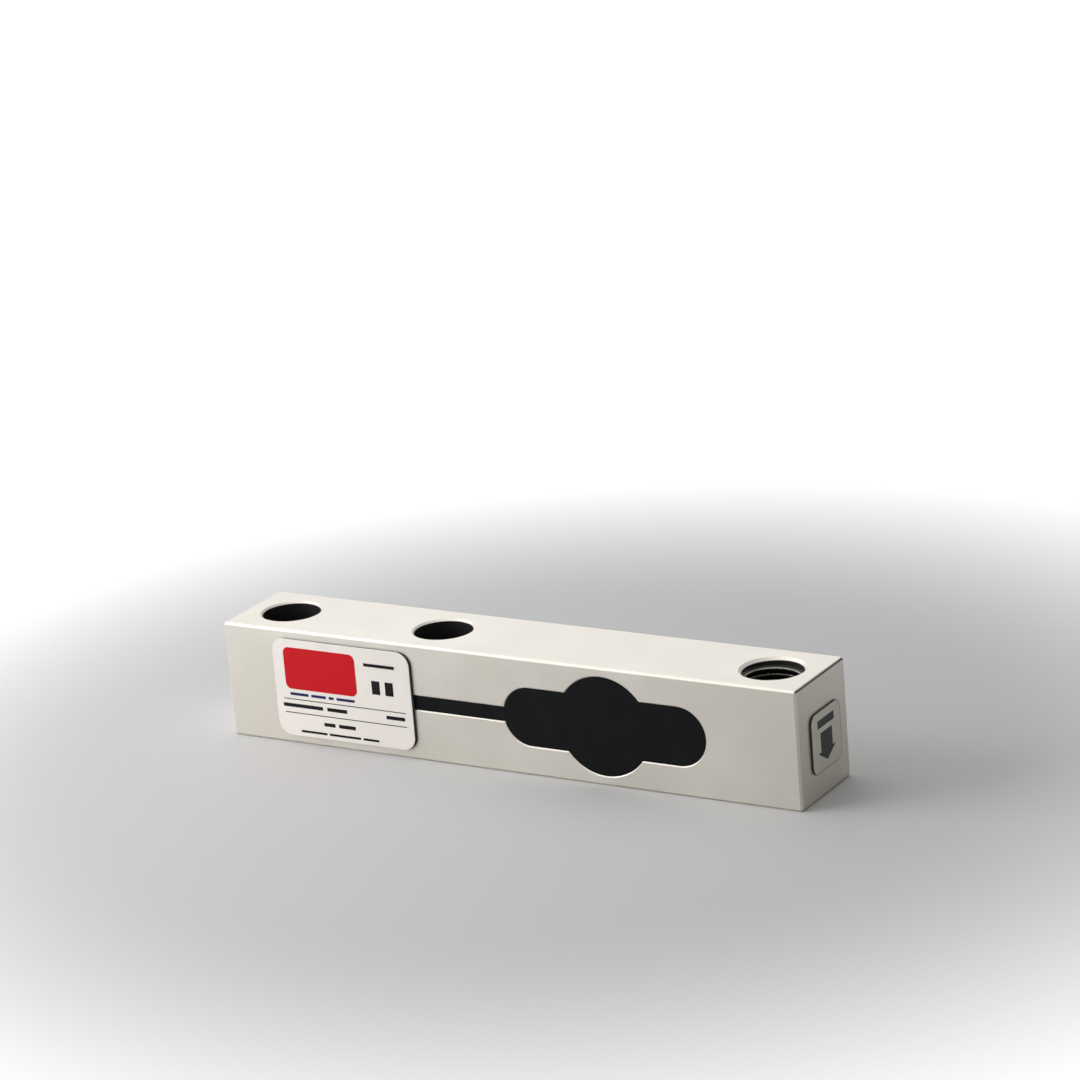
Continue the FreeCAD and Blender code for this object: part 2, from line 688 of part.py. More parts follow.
def solder_joint(doc, point, outward):
    """A small cone of solder on its pad. outward is -1 towards the labelled side, 1 away from it."""
    cone = doc.addObject("Part::Cone", "SolderJoint")
    bind(cone, Radius1="solder_base", Radius2="solder_tip", Height="solder_height")
    cone.Placement = FreeCAD.Placement(point, FreeCAD.Rotation(Vector(1, 0, 0), -90 * outward))
    return cone


def make_solder(doc):
    """Solder at both ends of every wire and under the resistors' feet."""
    at = places()
    top = at["pad_top"]
    gauge = [solder_joint(doc, Vector(at["front_tabs"], -at["foil"], z), -1) for z in tab_heights()]
    gauge += [solder_joint(doc, Vector(at["rear_tabs"], at["foil"], z), 1) for z in tab_heights()]
    columns = (at["left_pads"], at["right_pads"])
    heights = tab_heights() + link_heights()
    board = [solder_joint(doc, Vector(x, top, z), -1) for x in columns for z in heights]
    feet = [at["height"] - size["resistor_foot"], at["height"] + size["resistor_foot"]]
    across = [at["resistors"], at["resistors"] + size["resistor_pitch"]]
    board += [solder_joint(doc, Vector(x, top, z), -1) for x in across for z in feet]
    return [group(doc, "gauge_solder", gauge), group(doc, "board_solder", board)]


def make_resistor(doc, label, number):
    """A resistor: its rounded body with the lead that passes through it and bends to both pads."""
    at = places()
    board = at["pad_top"] + size["pad_thickness"]
    lift = size["resistor_lift"] + size["resistor_diameter"] / 2
    x = at["resistors"] + number * size["resistor_pitch"]
    low, high = at["height"] - size["resistor_foot"], at["height"] + size["resistor_foot"]
    landing = at["pad_top"] - size["solder_height"]
    corners = [Vector(x, landing, low), Vector(x, board - lift, low),
               Vector(x, board - lift, high), Vector(x, landing, high)]
    core = doc.addObject("Part::Cylinder", label + "Body")
    bind(core, Radius="resistor_diameter / 2", Height="resistor_length", x=resistor_x(number),
         y=f"{BOARD_Y} - resistor_lift - resistor_diameter / 2", z=f"{MIDDLE_Z} - resistor_length / 2")
    doc.recompute()
    body = doc.addObject("Part::Fillet", label + "Round")
    body.Base = core
    rims = edge_names(core.Shape, lambda edge: isinstance(edge.Curve, Part.Circle))
    body.Edges = [(int(name[4:]), size["resistor_end"], size["resistor_end"]) for name in rims]
    lead = doc.addObject("Part::Feature", label + "Lead")
    lead.Shape = bent_wire(corners, size["lead_bend"], size["lead_diameter"] / 2)
    item = doc.addObject("Part::Fuse", label)
    item.Base = body
    item.Tool = lead
    return item


# The compound, cast round what the pockets hold

def cast(doc, label, filling, held):
    """The compound: what fills the hollows, less all that lies in them."""
    item = doc.addObject("Part::Cut", label)
    item.Base = filling
    item.Tool = held
    return item


def make_potting(doc, held):
    """The compound on both sides, with the outlines of the hollows. It meets inside the wire hole."""
    half = "beam_width / 2"
    face = f"{half} - potting_recess"
    web = "web_thickness / 2"
    front = new_body(doc, "FrontFilling")
    turned(front, "Revolution", web_section(front, "FrontRound", face, 0))
    lobes = lobe_outline(front, "LobeFilling", f"{half} - lobe_depth")
    pad(front, lobes, "lobe_depth - potting_recess")
    channel = channel_outline(front, "ChannelFilling", f"{half} - channel_depth")
    pad(front, channel, "channel_depth - potting_recess")
    plug = round_outline(front, "CoreFilling", INLET_X, "core_hole_diameter", f"inlet_depth - {half}")
    pad(front, plug, "beam_width - inlet_depth - channel_depth")
    pad(front, round_outline(front, "FrontCross", CROSS_X, "cross_hole_diameter", 0), web)
    rear = new_body(doc, "RearFilling")
    turned(rear, "Revolution", web_section(rear, "RearRound", face, 180))
    pad(rear, round_outline(rear, "RearCross", CROSS_X, "cross_hole_diameter", f"-{web}"), web)
    inside = doc.addObject("Part::MultiFuse", "HeldPieces")
    inside.Shapes = held
    return [cast(doc, "front_potting", front, inside), cast(doc, "rear_potting", rear, inside)]


# The labels

def make_labels(doc):
    """The large label on the side and the small one on the load end, each on its adhesive foam."""
    side = "-beam_width / 2"
    middle = "(-beam_length / 2 + rating_distance)"
    end = "beam_length / 2"
    return [
        plate(doc, "rating_label_tape", "XZ_Plane", "rating_length - 2 * tape_inset",
              "rating_height - 2 * tape_inset", "rating_tape", "rating_corner - tape_inset",
              x=f"{middle} + tape_slip", y=side, z=f"{MIDDLE_Z} + rating_rise"),
        plate(doc, "rating_label_face", "XZ_Plane", "rating_length", "rating_height",
              "rating_face", "rating_corner", x=middle, y=f"{side} - rating_tape",
              z=f"{MIDDLE_Z} + rating_rise"),
        plate(doc, "load_label_tape", "YZ_Plane", "arrow_side", "arrow_side", "arrow_tape",
              "arrow_corner", x=end, y="arrow_shift", z=f"{MIDDLE_Z} + arrow_rise"),
        plate(doc, "load_label_face", "YZ_Plane", "arrow_side", "arrow_side", "arrow_face",
              "arrow_corner", x=f"{end} + arrow_tape", y="arrow_shift", z=f"{MIDDLE_Z} + arrow_rise"),
    ]


def check_and_write(doc, parts):
    """Stop if anything failed, then write each sub-part to its own file."""
    for item in doc.Objects:
        if "Invalid" in item.State or "Error" in item.State:
            raise RuntimeError(f"{item.Label} did not build")
    for item in parts:
        if item.Shape.isNull() or not item.Shape.isValid():
            raise RuntimeError(f"{item.Label} has no valid shape")
    os.makedirs("parts", exist_ok=True)
    for item in parts:
        item.Shape.exportStep(f"parts/{item.Label}.step")
        print(item.Label, len(item.Shape.Solids), round(item.Shape.Volume, 3))


def main():
    """Build the load cell and write its sub-parts."""
    doc = FreeCAD.newDocument("LoadCell")
    make_sheet(doc)
    beam = make_beam(doc)
    held = make_gauges(doc) + make_boards(doc) + make_wires(doc) + make_solder(doc)
    held.append(make_resistor(doc, "zero_balance_resistor", 0))
    held.append(make_resistor(doc, "span_resistor", 1))
    potting = make_potting(doc, held)
    labels = make_labels(doc)
    doc.recompute()
    check_and_write(doc, [beam] + potting + held + labels)


main()
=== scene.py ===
import json
import math

import bmesh
import bpy
from mathutils import Matrix, Vector


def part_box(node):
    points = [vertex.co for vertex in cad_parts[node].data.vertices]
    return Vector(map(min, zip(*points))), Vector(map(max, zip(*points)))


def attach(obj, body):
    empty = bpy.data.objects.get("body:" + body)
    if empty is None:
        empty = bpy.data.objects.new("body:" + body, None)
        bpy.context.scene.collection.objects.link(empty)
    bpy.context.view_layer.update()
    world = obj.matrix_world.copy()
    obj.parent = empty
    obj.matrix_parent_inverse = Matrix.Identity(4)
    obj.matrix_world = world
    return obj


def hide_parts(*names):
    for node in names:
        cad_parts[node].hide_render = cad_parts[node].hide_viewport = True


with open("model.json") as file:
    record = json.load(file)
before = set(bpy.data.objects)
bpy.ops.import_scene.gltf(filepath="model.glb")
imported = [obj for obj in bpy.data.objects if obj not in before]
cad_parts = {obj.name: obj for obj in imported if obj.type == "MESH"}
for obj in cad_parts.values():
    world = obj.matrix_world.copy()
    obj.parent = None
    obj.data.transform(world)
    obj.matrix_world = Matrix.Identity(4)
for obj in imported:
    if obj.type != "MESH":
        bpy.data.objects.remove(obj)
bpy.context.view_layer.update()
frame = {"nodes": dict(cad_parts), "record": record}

MM = 0.001
MOUNTS = {mount["name"]: mount for mount in frame["record"]["mounts"]}

# The photograph's view: degrees, millimetres of lens, metres.
CAMERA_AZIMUTH = 31.79
CAMERA_ELEVATION = 17.67
CAMERA_ROLL = -4.713
CAMERA_LENS = 134.07
CAMERA_PLACE = Vector((0.41632, -0.66229, 0.29555))

# The beam's chamfer, metres.
EDGE_CHAMFER = 0.45 * MM

# The thread's ridge, metres.
THREAD_PITCH = 1.27 * MM
THREAD_MINOR_RADIUS = 5.67 * MM
THREAD_BITE = 0.02 * MM
STEPS_PER_TURN = 72

# Shares of the thread's pitch, and of its depth where it runs out.
THREAD_HALF_BASE = 0.48
THREAD_HALF_CREST = 0.1
THREAD_RUN_OUT = 0.03

# The labels: their corners in millimetres, as their outlines are, the rest in metres.
RATING_LABEL_CORNER = 3.0
LOAD_LABEL_CORNER = 2.0
# The width of the painted shade along the load label's edge.
LABEL_SHADE_RIM = 0.2 * MM
LABEL_BEVEL = 0.03 * MM
INK_THICKNESS = 0.02 * MM

# The floor turns from pale grey round the object to white, metres.
FLOOR_NEAR = 0.09
FLOOR_FAR = 0.25
FLOOR_DROP = 0.02 * MM
FLOOR_HALF_SIDE = 4.0

# Strengths of light, where 1 is white.
FLOOR_WHITE = 0.8
ROOM_LIGHT = 0.1

# Each lamp's name, azimuth and elevation in degrees, distance and width in metres, and watts.
# Azimuth is the side a lamp stands on: 0 is the labelled side.
LAMPS = (
    ("high", -90, 65, 1.3, 2.6, 16.5),
    ("side", -54, 20, 0.48, 0.4, 1.84),
    ("back", 212, 30, 1.2, 0.6, 0.45),
)


def linear(red, green, blue):
    """A colour given as it shows on screen, from 0 to 255, turned into a shader's colour."""
    def channel(value):
        value /= 255
        return value / 12.92 if value <= 0.04045 else ((value + 0.055) / 1.055) ** 2.4
    return (channel(red), channel(green), channel(blue), 1.0)


# Node building

class Shader:
    """A material's node tree, with short calls to add and join nodes."""

    def __init__(self, name):
        self.material = bpy.data.materials.new(name)
        self.material.use_nodes = True
        self.tree = self.material.node_tree
        self.surface = self.tree.nodes["Principled BSDF"]

    def add(self, kind, **settings):
        node = self.tree.nodes.new("ShaderNode" + kind)
        for name, value in settings.items():
            setattr(node, name, value)
        return node

    def join(self, source, target):
        self.tree.links.new(source, target)

    def feed(self, socket, value):
        """Joins a node's output to the socket, or sets a plain value on it."""
        if isinstance(value, bpy.types.NodeSocket):
            self.join(value, socket)
        else:
            socket.default_value = value

    def place(self, scale=(1, 1, 1)):
        """The point on the object in the row frame, in metres, stretched by a scale."""
        mapping = self.add("Mapping")
        mapping.inputs["Scale"].default_value = scale
        self.join(self.add("TexCoord").outputs["Object"], mapping.inputs["Vector"])
        return mapping.outputs["Vector"]

    def axes(self):
        """The x, y and z of the point on the object."""
        split = self.add("SeparateXYZ")
        self.join(self.place(), split.inputs[0])
        return split.outputs

    def noise(self, vector, scale, detail=2.0, roughness=0.5):
        node = self.add("TexNoise")
        self.join(vector, node.inputs["Vector"])
        node.inputs["Scale"].default_value = scale
        node.inputs["Detail"].default_value = detail
        node.inputs["Roughness"].default_value = roughness
        return node.outputs["Fac"]

    def span(self, value, low, high, to_low=0.0, to_high=1.0):
        """A smooth, clamped change of range."""
        node = self.add("MapRange", interpolation_type="SMOOTHSTEP")
        self.join(value, node.inputs["Value"])
        node.inputs["From Min"].default_value = low
        node.inputs["From Max"].default_value = high
        node.inputs["To Min"].default_value = to_low
        node.inputs["To Max"].default_value = to_high
        return node.outputs["Result"]

    def fade(self, distance, start, end):
        """1 up to the start, 0 from the end on."""
        return self.span(distance, start, end, 1.0, 0.0)

    def spread(self, noise, to_low=0.0, to_high=1.0):
        """A noise's usual range, made to fill another."""
        return self.span(noise, 0.3, 0.7, to_low, to_high)

    def math(self, operation, first, second=0.0):
        node = self.add("Math", operation=operation)
        self.feed(node.inputs[0], first)
        self.feed(node.inputs[1], second)
        return node.outputs[0]

    def mix(self, factor, first, second):
        """A mix of two colours."""
        node = self.add("Mix", data_type="RGBA")
        self.feed(node.inputs[0], factor)
        self.feed(node.inputs[6], first)
        self.feed(node.inputs[7], second)
        return node.outputs[2]

    def bump(self, height, distance, strength=1.0):
        node = self.add("Bump")
        node.inputs["Strength"].default_value = strength
        node.inputs["Distance"].default_value = distance
        self.join(height, node.inputs["Height"])
        self.join(node.outputs["Normal"], self.surface.inputs["Normal"])

    def set(self, **values):
        """Sets the shader's own sockets: base_color is Base Color, and so on."""
        for name, value in values.items():
            socket = self.surface.inputs[name.replace("_", " ").title().replace("Ior", "IOR")]
            self.feed(socket, value)
        return self.material


# Materials

def from_axis(shader, mount):
    """How far a point lies from the axis of an upright bore, and from the bore's middle height."""
    middle = Vector(mount["pos_m"])
    x, y, z = (shader.math("SUBTRACT", *pair) for pair in zip(shader.axes(), middle))
    square = shader.math("ADD", shader.math("POWER", x, 2), shader.math("POWER", y, 2))
    return shader.math("SQRT", square), shader.math("ABSOLUTE", z)


def painted_bore_shade(shader, mount, edge=0.12 * MM):
    """1 on the wall of an upright bore, where painted shade goes, 0 elsewhere."""
    radius = mount["dims"]["r_mm"] * MM
    half = mount["dims"]["length_mm"] * MM / 2
    reach, height = from_axis(shader, mount)
    inside = shader.fade(reach, radius + edge / 2, radius + edge)
    deep = shader.fade(height, half - edge, half + edge)
    return shader.math("MULTIPLY", inside, deep)


def painted_edge_reflection(shader):
    """1 on the lower part of the chamfer between the top and the load end, where a painted dark
    reflection goes, 0 elsewhere.
    """
    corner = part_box("beam")[1]
    parts = shader.axes()
    from_end = shader.math("SUBTRACT", corner[0], parts[0])
    from_top = shader.math("SUBTRACT", corner[2], parts[2])
    near_end = shader.fade(from_end, EDGE_CHAMFER * 0.55, EDGE_CHAMFER * 0.75)
    near_top = shader.fade(from_top, EDGE_CHAMFER * 1.02, EDGE_CHAMFER * 1.1)
    return shader.math("MULTIPLY", near_end, near_top)


def satin_plate():
    """Satin nickel plate over ground steel, with painted shade down the bores and a painted dark
    reflection along the load end's top edge.
    """
    shader = Shader("satin_plate")
    grain = shader.noise(shader.place((0.03, 1, 1)), 9000, 3.0, 0.6)
    cloud = shader.noise(shader.place(), 60, 3.0)
    plate = shader.mix(shader.spread(cloud), linear(214, 209, 199), linear(220, 215, 206))
    # Painted shade down the bore walls, colouring them dark grey.
    dark = 0.0
    for name in ("outer_fixing_bore", "inner_fixing_bore", "load_thread"):
        dark = shader.math("MAXIMUM", painted_bore_shade(shader, MOUNTS[name]), dark)
    # Painted dark reflection along the top edge of the load end.
    dark = shader.math("MAXIMUM", painted_edge_reflection(shader), dark)
    colour = shader.mix(dark, plate, linear(52, 51, 50))
    shader.bump(grain, 0.004 * MM)
    return shader.set(
        base_color=colour,
        metallic=0.48,
        roughness=shader.span(cloud, 0.25, 0.75, 0.34, 0.4),
    )


def thread_steel():
    """Cut steel of the thread, with a painted highlight on its crest and painted shade in its
    depth.
    """
    shader = Shader("thread_steel")
    marks = shader.noise(shader.place((1, 1, 6)), 2500, 3.0)
    reach = from_axis(shader, MOUNTS["load_thread"])[0]
    # Painted shade: the depth of the thread is coloured dark, away from its crest.
    depth = shader.span(reach, THREAD_MINOR_RADIUS + 0.04 * MM, THREAD_MINOR_RADIUS + 0.3 * MM)
    # Painted highlight: the crest is coloured light to act as a glint.
    crest = shader.mix(shader.spread(marks), linear(118, 115, 108), linear(150, 146, 138))
    colour = shader.mix(depth, crest, linear(32, 31, 30))
    shader.bump(marks, 0.004 * MM)
    return shader.set(
        base_color=colour,
        metallic=0.9,
        roughness=shader.spread(marks, 0.2, 0.3),
    )


def cast_compound():
    """Black potting compound, matt, a little uneven, with dust on it."""
    shader = Shader("cast_compound")
    swell = shader.noise(shader.place(), 160, 2.0)
    fine = shader.noise(shader.place(), 4500, 3.0, 0.6)
    dust = shader.span(shader.noise(shader.place(), 5200, 1.0), 0.69, 0.75)
    black = shader.mix(shader.spread(swell), linear(12, 13, 15), linear(17, 18, 20))
    colour = shader.mix(dust, black, linear(48, 50, 52))
    height = shader.math("ADD", shader.math("MULTIPLY", swell, 6.0), fine)
    shader.bump(height, 0.02 * MM)
    return shader.set(
        base_color=colour,
        roughness=shader.spread(fine, 0.55, 0.68),
        specular_ior_level=0.08,
    )


def closed_foam():
    """Black foam tape, its cells open at the cut edge."""
    shader = Shader("closed_foam")
    cells = shader.add("TexVoronoi")
    shader.join(shader.place(), cells.inputs["Vector"])
    cells.inputs["Scale"].default_value = 9000
    shader.bump(cells.outputs["Distance"], 0.05 * MM)
    colour = shader.mix(cells.outputs["Distance"], linear(14, 14, 15), linear(34, 34, 36))
    return shader.set(base_color=colour, roughness=0.9)


def painted_rim_shade(shader, node, radius, width):
    """1 along the edge of a label on the load end, where painted shade goes, 0 inside it."""
    low, high = (Vector(corner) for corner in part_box(node))
    middle = (low + high) / 2
    half = (high - low) / 2
    parts = shader.axes()
    squares = []
    for axis in (1, 2):
        offset = shader.math("SUBTRACT", parts[axis], middle[axis])
        offset = shader.math("ABSOLUTE", offset)
        past = shader.math("SUBTRACT", offset, half[axis] - radius)
        past = shader.math("MAXIMUM", past, 0.0)
        squares.append(shader.math("POWER", past, 2))
    reach = shader.math("SQRT", shader.math("ADD", *squares))
    return shader.span(reach, radius - width, radius - width / 2)


def label_film(name, tone, metallic, roughness, shade_rim_of=None):
    """Printed label film: a faint orange peel, two near tones and, if asked, a thin rim of painted
    shade along its edge.
    """
    shader = Shader(name)
    peel = shader.noise(shader.place(), 1500, 2.0)
    cloud = shader.noise(shader.place(), 90, 2.0)
    darker = tuple(channel * 0.95 for channel in tone[:3]) + (1.0,)
    colour = shader.mix(shader.spread(cloud), darker, tone)
    if shade_rim_of:
        rim = painted_rim_shade(shader, shade_rim_of, LOAD_LABEL_CORNER * MM, LABEL_SHADE_RIM)
        # Painted shade: a thin dark rim along the label's edge, where the foam tape's edge lies in
        # shade.
        colour = shader.mix(rim, colour, linear(92, 90, 82))
    shader.bump(peel, 0.006 * MM)
    return shader.set(
        base_color=colour,
        metallic=metallic,
        roughness=shader.spread(peel, roughness - 0.04, roughness + 0.04),
    )


def ink(name, tone):
    """Printing ink, slightly uneven."""
    shader = Shader(name)
    cloud = shader.noise(shader.place(), 3000, 3.0)
    darker = tuple(channel * 0.88 for channel in tone[:3]) + (1.0,)
    colour = shader.mix(shader.span(cloud, 0.35, 0.65), darker, tone)
    return shader.set(
        base_color=colour,
        roughness=shader.spread(cloud, 0.34, 0.42),
        specular_ior_level=0.2,
    )


def spotted(name, tone, other, scale, metallic, roughness):
    """A plain material of two near tones with a fine surface, for the pieces inside."""
    shader = Shader(name)
    spots = shader.noise(shader.place(), scale, 3.0)
    shader.bump(spots, 0.002 * MM)
    colour = shader.mix(shader.spread(spots), linear(*tone), linear(*other))
    return shader.set(
        base_color=colour,
        metallic=metallic,
        roughness=shader.spread(spots, roughness - 0.05, roughness + 0.05),
    )


# For each slot inside: the material's name, its two tones, spots, metallic share and roughness.
INNER_LOOKS = {
    "gauge_film": ("amber_film", (176, 120, 40), (196, 140, 58), 2500, 0.0, 0.3),
    "gauge_foil": ("constantan_foil", (196, 170, 140), (208, 184, 156), 5000, 1.0, 0.3),
    "circuit_board": ("green_board", (20, 84, 46), (30, 98, 56), 3000, 0.0, 0.35),
    "copper": ("bare_copper", (200, 140, 104), (214, 158, 122), 4000, 1.0, 0.3),
    "enamelled_wire": ("red_enamel", (122, 40, 22), (142, 52, 30), 6000, 0.2, 0.25),
    "solder": ("solder", (170, 172, 174), (190, 192, 194), 5000, 1.0, 0.28),
    "resistor_body": ("blue_glaze", (152, 181, 189), (166, 195, 203), 3000, 0.0, 0.3),
}


def make_materials():
    """One material for each of the record's slots."""
    cream = linear(244, 238, 231)
    silver = linear(214, 212, 198)
    return {
        "plated_steel": satin_plate(),
        "potting_compound": cast_compound(),
        "adhesive_foam": closed_foam(),
        "rating_print": label_film("cream_film", cream, 0.0, 0.4),
        "load_print": label_film("silver_film", silver, 0.3, 0.38, shade_rim_of="load_label_face"),
        **{slot: spotted(*look) for slot, look in INNER_LOOKS.items()},
    }


def paint_frame(materials):
    """Every CAD node gets the material of its slot."""
    for node in frame["nodes"].values():
        for place in node.material_slots:
            slot = place.material.name.split(".")[0]
            place.material = materials[slot]


# Meshes

def as_piece(name, mesh, material):
    """A mesh as a piece of the object, on its body."""
    piece = bpy.data.objects.new(name, mesh)
    bpy.context.collection.objects.link(piece)
    piece.data.materials.append(material)
    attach(piece, "root")
    return piece


def thread_height(turns_from_end):
    """How far the thread stands in, from 0 at its run-out to 1 after half a turn."""
    return max(0.0, min(1.0, turns_from_end * 2))


def make_thread(material):
    """The ridge of the internal thread, wound up the load hole."""
    mount = MOUNTS["load_thread"]
    middle = Vector(mount["pos_m"])
    root = mount["dims"]["r_mm"] * MM + THREAD_BITE
    length = mount["dims"]["length_mm"] * MM
    depth = root - THREAD_MINOR_RADIUS
    turns = (length - THREAD_PITCH) / THREAD_PITCH
    steps = int(turns * STEPS_PER_TURN)
    half_base = THREAD_PITCH * THREAD_HALF_BASE
    half_crest = THREAD_PITCH * THREAD_HALF_CREST
    mesh = bpy.data.meshes.new("load_thread")
    work = bmesh.new()
    rows = []
    for step in range(steps + 1):
        turn = step / STEPS_PER_TURN
        stand = thread_height(min(turn, turns - turn))
        angle = turn * 2 * math.pi
        height = middle.z - length / 2 + THREAD_PITCH / 2 + turn * THREAD_PITCH
        crest = root - depth * max(stand, THREAD_RUN_OUT)
        profile = (
            (root, -half_base),
            (crest, -half_crest),
            (crest, half_crest),
            (root, half_base),
        )
        rows.append([
            work.verts.new((
                middle.x + radius * math.cos(angle),
                middle.y + radius * math.sin(angle),
                height + rise,
            ))
            for radius, rise in profile
        ])
    for low, high in zip(rows, rows[1:]):
        for i in range(4):
            j = (i + 1) % 4
            work.faces.new((low[i], low[j], high[j], high[i]))
    work.faces.new(rows[0][::-1])
    work.faces.new(rows[-1])
    bmesh.ops.recalc_face_normals(work, faces=work.faces)
    work.to_mesh(mesh)
    work.free()
    return as_piece("load_thread_ridge", mesh, material)


# Flat outlines, in millimetres from the lower left corner of a label

def box(left, bottom, right, top):
    return [(left, bottom), (right, bottom), (right, top), (left, top)]


def round_box(left, bottom, right, top, radius, steps=10):
    """A rectangle with round corners."""
    points = []
    centres = [
        (right - radius, bottom + radius, -90),
        (right - radius, top - radius, 0),
        (left + radius, top - radius, 90),
        (left + radius, bottom + radius, 180),
    ]
    for x, y, start in centres:
        for step in range(steps + 1):
            angle = math.radians(start + 90 * step / steps)
            points.append((x + radius * math.cos(angle), y + radius * math.sin(angle)))
    return points


def words(left, bottom, right, top, lengths, gap=0.5):
    """A line of print as plain bars: one for each length, stretched to fill the line."""
    scale = (right - left - gap * (len(lengths) - 1)) / sum(lengths)
    bars = []
    for length in lengths:
        bars.append(box(left, bottom, left + length * scale, top))
        left += length * scale + gap
    return bars


def label_frame(node, across, out):
    """The corner of a label's outer face and its two directions, as a matrix from millimetres."""
    low, high = (Vector(corner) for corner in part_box(node))
    up = Vector((0, 0, 1))
    corner = Vector(low)
    for axis in range(3):
        if out[axis] > 0:
            corner[axis] = high[axis]
    turn = Matrix((across, up, out)).transposed()
    return Matrix.Translation(corner) @ (turn * MM).to_4x4(), high - low


def flat_piece(name, outlines, place, base, top, material):
    """Plates of the given outlines, between two heights in metres over the label's outer face."""
    work = bmesh.new()
    for outline in outlines:
        lower = [work.verts.new((x, y, base / MM)) for x, y in outline]
        upper = [work.verts.new((x, y, top / MM)) for x, y in outline]
        work.faces.new(lower[::-1])
        work.faces.new(upper)
        for i in range(len(outline)):
            j = (i + 1) % len(outline)
            work.faces.new((lower[i], lower[j], upper[j], upper[i]))
    bmesh.ops.transform(work, matrix=place, verts=work.verts)
    bmesh.ops.recalc_face_normals(work, faces=work.faces)
    mesh = bpy.data.meshes.new(name)
    work.to_mesh(mesh)
    work.free()
    return as_piece(name, mesh, material)


def label_plate(name, node, place, size, radius, material):
    """The label's film in place of its CAD node, with the ink's thickness left free on it."""
    thickness = min(size)
    wide = max(size.x, size.y) / MM
    outline = round_box(0, 0, wide, size.z / MM, radius)
    plate = flat_piece(name, [outline], place, -thickness, -INK_THICKNESS, material)
    edge = plate.modifiers.new("edge", "BEVEL")
    edge.width = LABEL_BEVEL
    edge.segments = 2
    edge.limit_method = "ANGLE"
    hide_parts(node)
    return plate


def make_rating_label(materials):
    """The large label: plain fields and bars stand where the print is."""
    place, size = label_frame("rating_label_face", Vector((1, 0, 0)), Vector((0, -1, 0)))
    film = materials["rating_print"]
    label_plate(
        "rating_label_film", "rating_label_face",
        place, size, RATING_LABEL_CORNER, film,
    )
    black = ink("black_ink", linear(6, 6, 7))
    red = ink("red_ink", linear(206, 8, 22))
    blue = ink("blue_ink", linear(30, 34, 92))
    dial = round_box(2.7, 10.5, 20.6, 19.8, 1.4)
    bars = [
        *words(22.8, 17.6, 30.4, 18.3, [1]),
        *words(24.4, 11.6, 29.7, 14.6, [1, 1], 1.3),
        *words(1.6, 6.4, 17.6, 7.2, [8, 4], 1.1),
        *words(27.4, 6.4, 32.0, 7.2, [1]),
        *words(11.5, 2.9, 19.4, 3.7, [2, 3], 0.9),
        *words(5.5, 0.9, 25.0, 1.4, [5, 6, 3], 0.6),
        box(1.9, 8.11, 32.3, 8.29),
        box(1.9, 5.05, 32.3, 5.23),
    ]
    slogan = words(3.6, 9.1, 19.8, 9.7, [5, 4, 1.4, 5], 0.7)
    for name, outlines, material in (
        ("rating_red_field", [dial], red),
        ("rating_black_print", bars, black),
        ("rating_blue_print", slogan, blue),
    ):
        flat_piece(name, outlines, place, -INK_THICKNESS, 0.0, material)


def arrow(middle, tip, shoulder, top, head, shaft):
    """A block arrow that points down."""
    return [
        (middle, tip),
        (middle + head / 2, shoulder),
        (middle + shaft / 2, shoulder),
        (middle + shaft / 2, top),
        (middle - shaft / 2, top),
        (middle - shaft / 2, shoulder),
        (middle - head / 2, shoulder),
    ]


def make_load_label(materials):
    """The small label on the load end: an arrow that shows the way of the load."""
    place, size = label_frame("load_label_face", Vector((0, 1, 0)), Vector((1, 0, 0)))
    film = materials["load_print"]
    label_plate(
        "load_label_film", "load_label_face",
        place, size, LOAD_LABEL_CORNER, film,
    )
    grey = ink("grey_ink", linear(50, 52, 54))
    outlines = [
        arrow(6.25, 1.8, 4.05, 8.1, 7.6, 5.0),
        box(2.7, 9.2, 9.8, 10.9),
    ]
    flat_piece("load_arrow_print", outlines, place, -INK_THICKNESS, 0.0, grey)


# The stage

def pale_floor():
    """Plain pale grey, white further off as the camera and the metal see it."""
    shader = Shader("pale_floor")
    reach = shader.add("VectorMath", operation="LENGTH")
    shader.join(shader.place(), reach.inputs[0])
    white = shader.span(reach.outputs["Value"], FLOOR_NEAR, FLOOR_FAR, 0.0, FLOOR_WHITE)
    path = shader.add("LightPath")
    seen = shader.math("MAXIMUM", path.outputs["Is Camera Ray"], path.outputs["Is Glossy Ray"])
    seen = shader.math("MAXIMUM", seen, path.outputs["Is Transmission Ray"])
    return shader.set(
        base_color=linear(206, 206, 206),
        roughness=0.9,
        emission_color=(1, 1, 1, 1),
        emission_strength=shader.math("MULTIPLY", seen, white),
    )


def make_floor():
    """A plain floor under the object."""
    work = bmesh.new()
    bmesh.ops.create_grid(work, x_segments=8, y_segments=8, size=FLOOR_HALF_SIDE)
    mesh = bpy.data.meshes.new("floor")
    work.to_mesh(mesh)
    work.free()
    floor = bpy.data.objects.new("floor", mesh)
    bpy.context.collection.objects.link(floor)
    mesh.materials.append(pale_floor())
    floor.location.z = -FLOOR_DROP


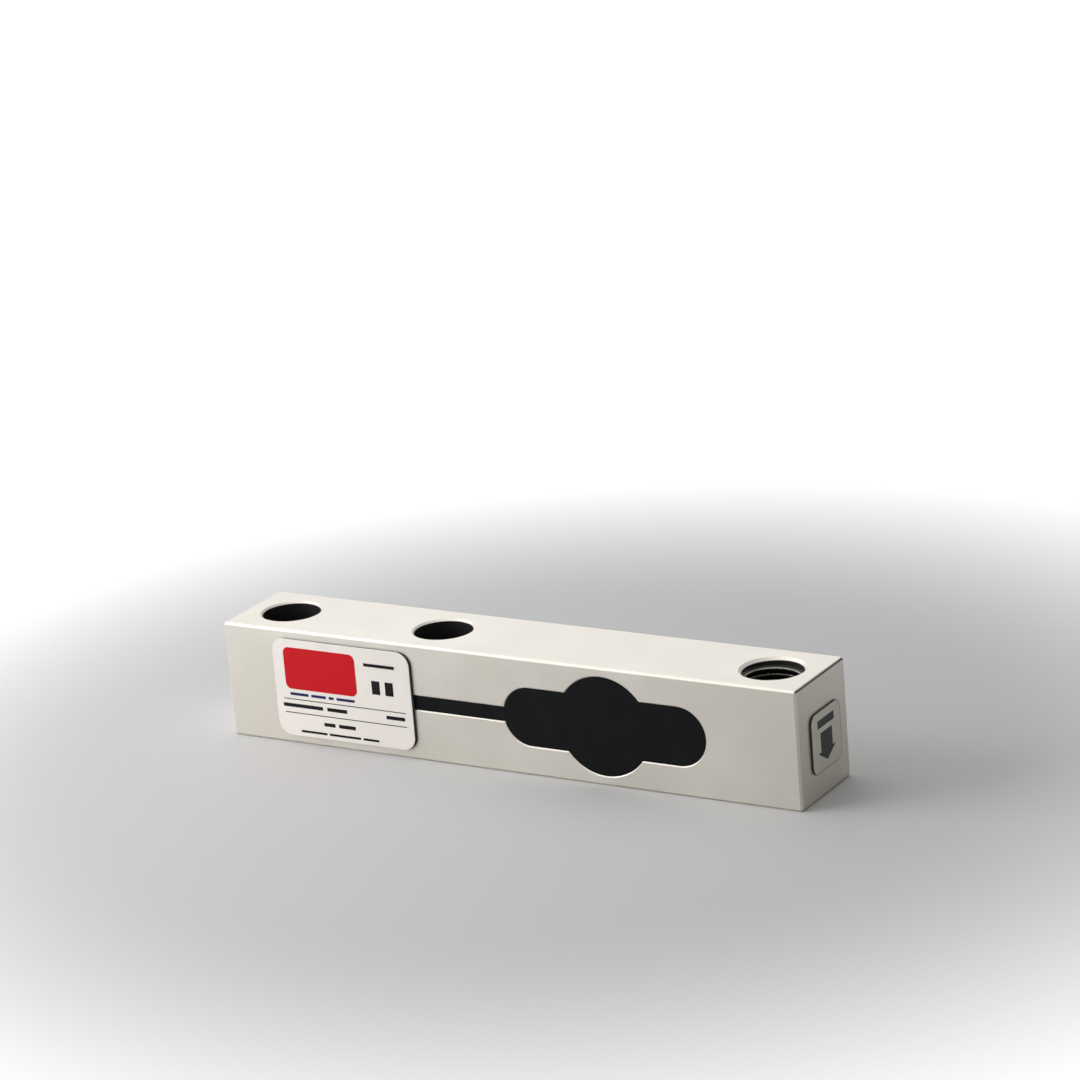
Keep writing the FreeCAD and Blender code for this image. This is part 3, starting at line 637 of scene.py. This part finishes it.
def make_world():
    """A white room as the camera and the metal see it, and an even grey one as a light."""
    world = bpy.data.worlds.new("studio")
    world.use_nodes = True
    bpy.context.scene.world = world
    tree = world.node_tree
    background = tree.nodes["Background"]
    background.inputs["Color"].default_value = (1, 1, 1, 1)
    path = tree.nodes.new("ShaderNodeLightPath")
    strength = tree.nodes.new("ShaderNodeMapRange")
    seen = path.outputs["Is Camera Ray"]
    for name in ("Is Glossy Ray", "Is Transmission Ray"):
        either = tree.nodes.new("ShaderNodeMath")
        either.operation = "MAXIMUM"
        tree.links.new(seen, either.inputs[0])
        tree.links.new(path.outputs[name], either.inputs[1])
        seen = either.outputs[0]
    strength.inputs["To Min"].default_value = ROOM_LIGHT
    tree.links.new(seen, strength.inputs["Value"])
    tree.links.new(strength.outputs["Result"], background.inputs["Strength"])


def make_lamp(name, azimuth, elevation, distance, size, energy):
    """A soft round lamp that faces the object."""
    lamp = bpy.data.lights.new(name, "AREA")
    lamp.shape = "DISK"
    lamp.size = size
    lamp.energy = energy
    item = bpy.data.objects.new(name, lamp)
    bpy.context.collection.objects.link(item)
    around = math.radians(azimuth)
    up = math.radians(elevation)
    way = Vector((
        math.sin(around) * math.cos(up),
        -math.cos(around) * math.cos(up),
        math.sin(up),
    ))
    item.location = way * distance
    item.rotation_euler = way.to_track_quat("Z", "Y").to_euler()


def make_camera():
    """The camera where the photograph was taken from."""
    camera = bpy.data.objects.new("camera", bpy.data.cameras.new("camera"))
    bpy.context.collection.objects.link(camera)
    camera.data.lens = CAMERA_LENS
    camera.data.clip_end = 20
    turn = Matrix.Rotation(math.radians(CAMERA_AZIMUTH), 4, "Z")
    tilt = Matrix.Rotation(math.radians(90 - CAMERA_ELEVATION), 4, "X")
    roll = Matrix.Rotation(math.radians(CAMERA_ROLL), 4, "Z")
    camera.matrix_world = Matrix.Translation(CAMERA_PLACE) @ turn @ tilt @ roll
    bpy.context.scene.camera = camera


materials = make_materials()
paint_frame(materials)
make_thread(thread_steel())
make_rating_label(materials)
make_load_label(materials)
make_floor()
make_world()
for lamp in LAMPS:
    make_lamp(*lamp)
make_camera()
bpy.context.scene.view_settings.view_transform = "Standard"
